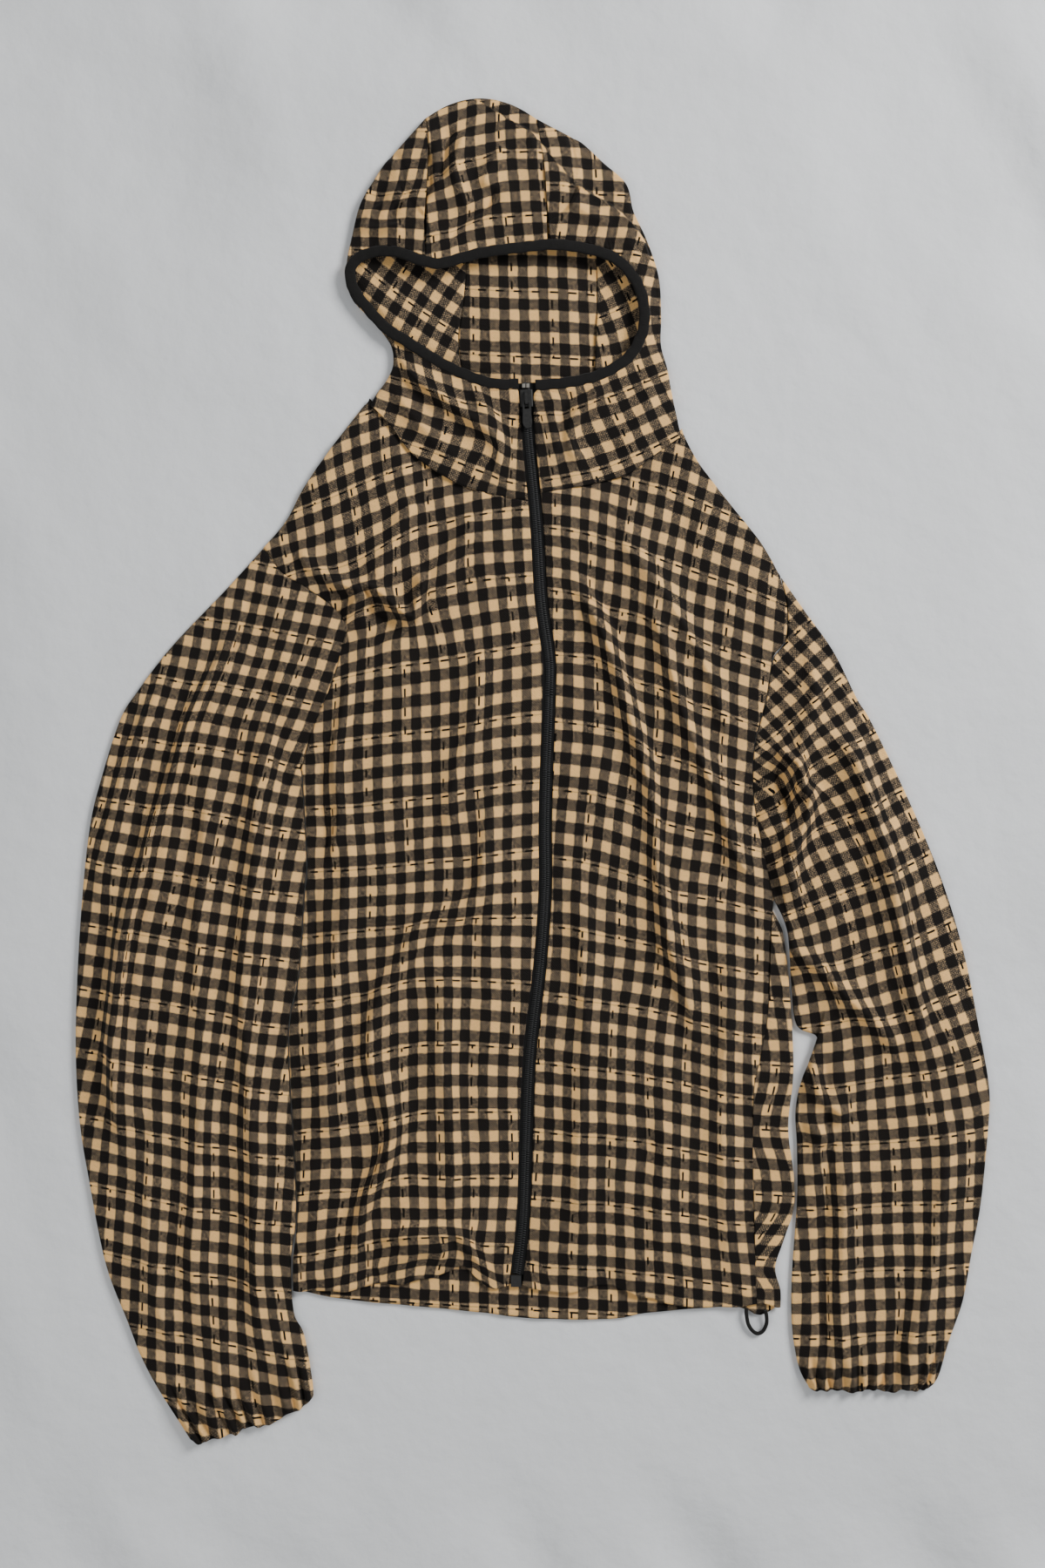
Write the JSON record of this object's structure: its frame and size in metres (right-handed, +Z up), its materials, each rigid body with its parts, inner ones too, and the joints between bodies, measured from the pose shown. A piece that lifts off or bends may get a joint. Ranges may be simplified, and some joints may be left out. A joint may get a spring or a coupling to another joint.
{
  "type": "hooded zip jacket",
  "caption": "Light hooded jacket in checked crinkled cotton, laid flat with the front up: full-length zip, bound hood opening, elasticated cuffs, cord loop at the hem.",
  "frame": {"origin": "under the middle of the whole outline, on the surface that the jacket lies on", "axes": "+Z up, away from the surface; +Y from the hem towards the hood; +X towards the viewer's right, the wearer's left"},
  "size_m": [0.7052, 1.033, 0.0185],
  "materials": {
    "checked_cotton": "matt crinkled cotton in a tan and black gingham check",
    "black_binding": "matt black cotton binding",
    "black_tape": "woven black zip tape with a nylon coil",
    "black_metal": "satin black paint",
    "bright_metal": "dull nickel",
    "elastic_cord": "round black elastic cord"
  },
  "bodies": {
    "jacket": {"back": "checked_cotton", "front_left": "checked_cotton", "front_right": "checked_cotton", "hood_left": "checked_cotton", "hood_right": "checked_cotton", "hood_centre": "checked_cotton", "sleeve_left": "checked_cotton", "sleeve_right": "checked_cotton", "face_binding": "black_binding", "zip_tape_left": "black_tape", "zip_tape_right": "black_tape", "zip_slider": "black_metal", "zip_crown": "black_metal", "zip_stop_left": "bright_metal", "zip_stop_right": "bright_metal", "zip_pin_box": "black_metal", "hem_cord": "elastic_cord"},
    "pull_tab": {"zip_pull": "black_metal"}
  },
  "joints": [
    {"name": "pull_swing", "type": "hinge", "parent": "jacket", "child": "pull_tab", "pos_m": [-0.00479, 0.2816, 0.01095], "axis": [-0.9991, -0.0427, 0], "range_deg": [0, 120]}
  ]
}
